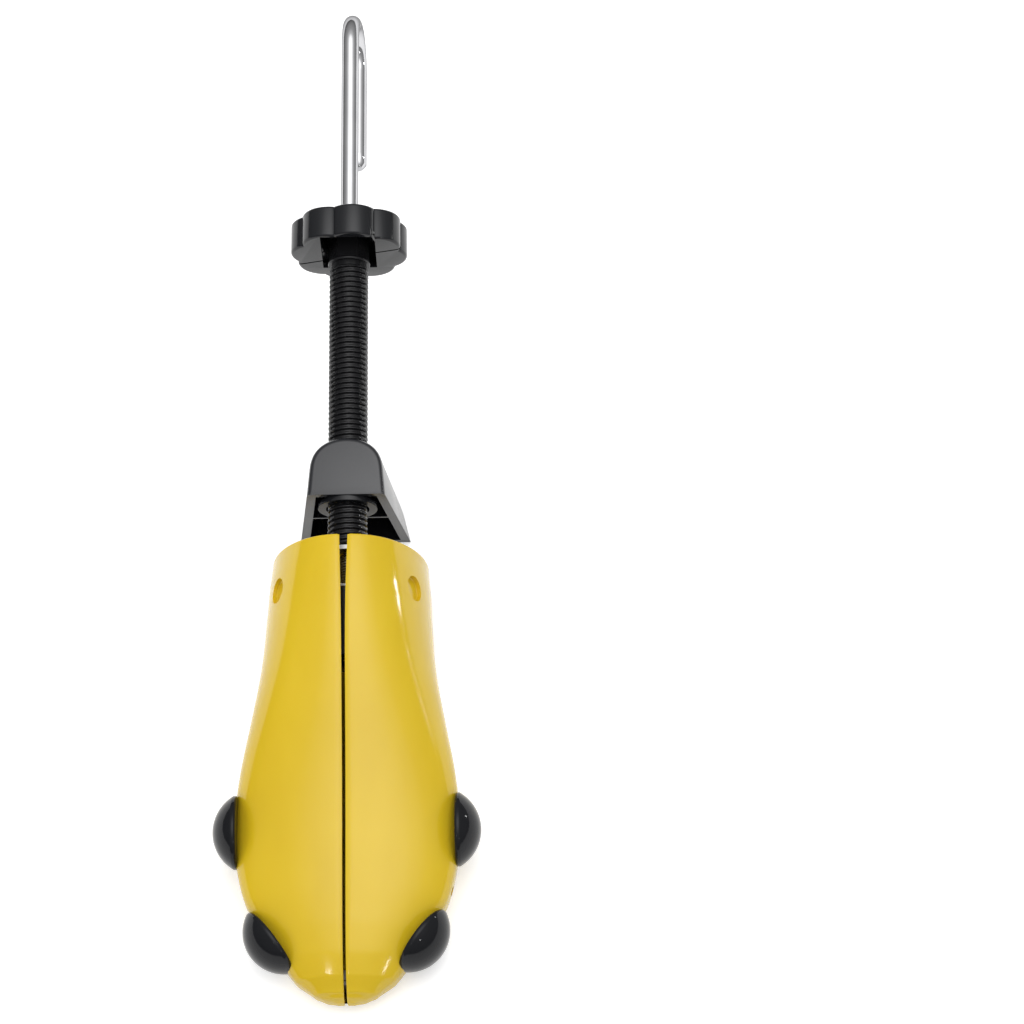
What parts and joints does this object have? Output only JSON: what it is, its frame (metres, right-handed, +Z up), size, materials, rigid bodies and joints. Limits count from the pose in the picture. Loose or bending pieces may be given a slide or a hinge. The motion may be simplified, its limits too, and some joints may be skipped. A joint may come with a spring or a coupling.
{
  "type": "two-way shoe stretcher",
  "caption": "Two-way shoe stretcher: a split toe form with round bunion pads, a heel block on a threaded tube with a lobed knob, and a hooked rod that spreads the form.",
  "frame": {"origin": "middle of the bounding box in X and Y, on the surface the stretcher stands on", "axes": "+X across the shoe, +Y from the toe towards the hook handle, +Z up"},
  "size_m": [0.0944, 0.3796, 0.081],
  "materials": {
    "yellow_plastic": "glossy injection-moulded yellow plastic",
    "black_plastic": "glossy injection-moulded black plastic",
    "tube_plastic": "satin black moulded plastic",
    "plain_steel": "zinc-plated steel",
    "bright_steel": "bright chrome-plated steel rod"
  },
  "bodies": {
    "core": {"toe_hinge_pin": "plain_steel", "thrust_plate": "plain_steel"},
    "left_half": {"left_half_shell": "yellow_plastic", "left_ramp_block": "yellow_plastic", "left_hinge_leaf": "plain_steel", "left_ball_pad": "black_plastic", "left_toe_pad": "black_plastic"},
    "right_half": {"right_half_shell": "yellow_plastic", "right_ramp_block": "yellow_plastic", "right_hinge_leaf": "plain_steel", "right_ball_pad": "black_plastic", "right_toe_pad": "black_plastic"},
    "wedge": {"wedge_block": "black_plastic", "wedge_nut": "plain_steel"},
    "tube": {"threaded_tube": "tube_plastic", "knob_upper_half": "black_plastic", "knob_lower_half": "black_plastic", "knob_screws": "plain_steel"},
    "heel": {"heel_block": "black_plastic", "heel_nut": "black_plastic"},
    "hook": {"hook_rod": "bright_steel", "rod_washer": "plain_steel", "rod_collar": "plain_steel"}
  },
  "joints": [
    {"name": "handle_turn", "type": "hinge", "parent": "core", "child": "hook", "pos_m": [0, -0.03378, 0.0389], "axis": [0, -0.9871, -0.1599], "range_deg": [0, 3960]},
    {"name": "wedge_slide", "type": "slide", "parent": "core", "child": "wedge", "axis": [0, 0.9871, 0.1599], "range_m": [0, 0.0111]},
    {"name": "left_open", "type": "hinge", "parent": "core", "child": "left_half", "pos_m": [0, -0.18228, 0.0108], "axis": [0, 0, 1], "range_deg": [0, 2.62]},
    {"name": "right_open", "type": "hinge", "parent": "core", "child": "right_half", "pos_m": [0, -0.18228, 0.0108], "axis": [0, 0, -1], "range_deg": [0, 2.62]},
    {"name": "knob_turn", "type": "hinge", "parent": "core", "child": "tube", "pos_m": [0, -0.03378, 0.0389], "axis": [0, -0.9871, -0.1599], "range_deg": [0, 12690]},
    {"name": "heel_slide", "type": "slide", "parent": "core", "child": "heel", "axis": [0, 0.9871, 0.1599], "range_m": [0, 0.0707]}
  ],
  "couplings": [
    {"joint": "wedge_slide", "follows": "handle_turn", "m_per_rad": 0.00015915},
    {"joint": "left_open", "follows": "handle_turn", "ratio": 0.00065657},
    {"joint": "right_open", "follows": "handle_turn", "ratio": 0.00065657},
    {"joint": "heel_slide", "follows": "knob_turn", "m_per_rad": 0.00031831}
  ]
}
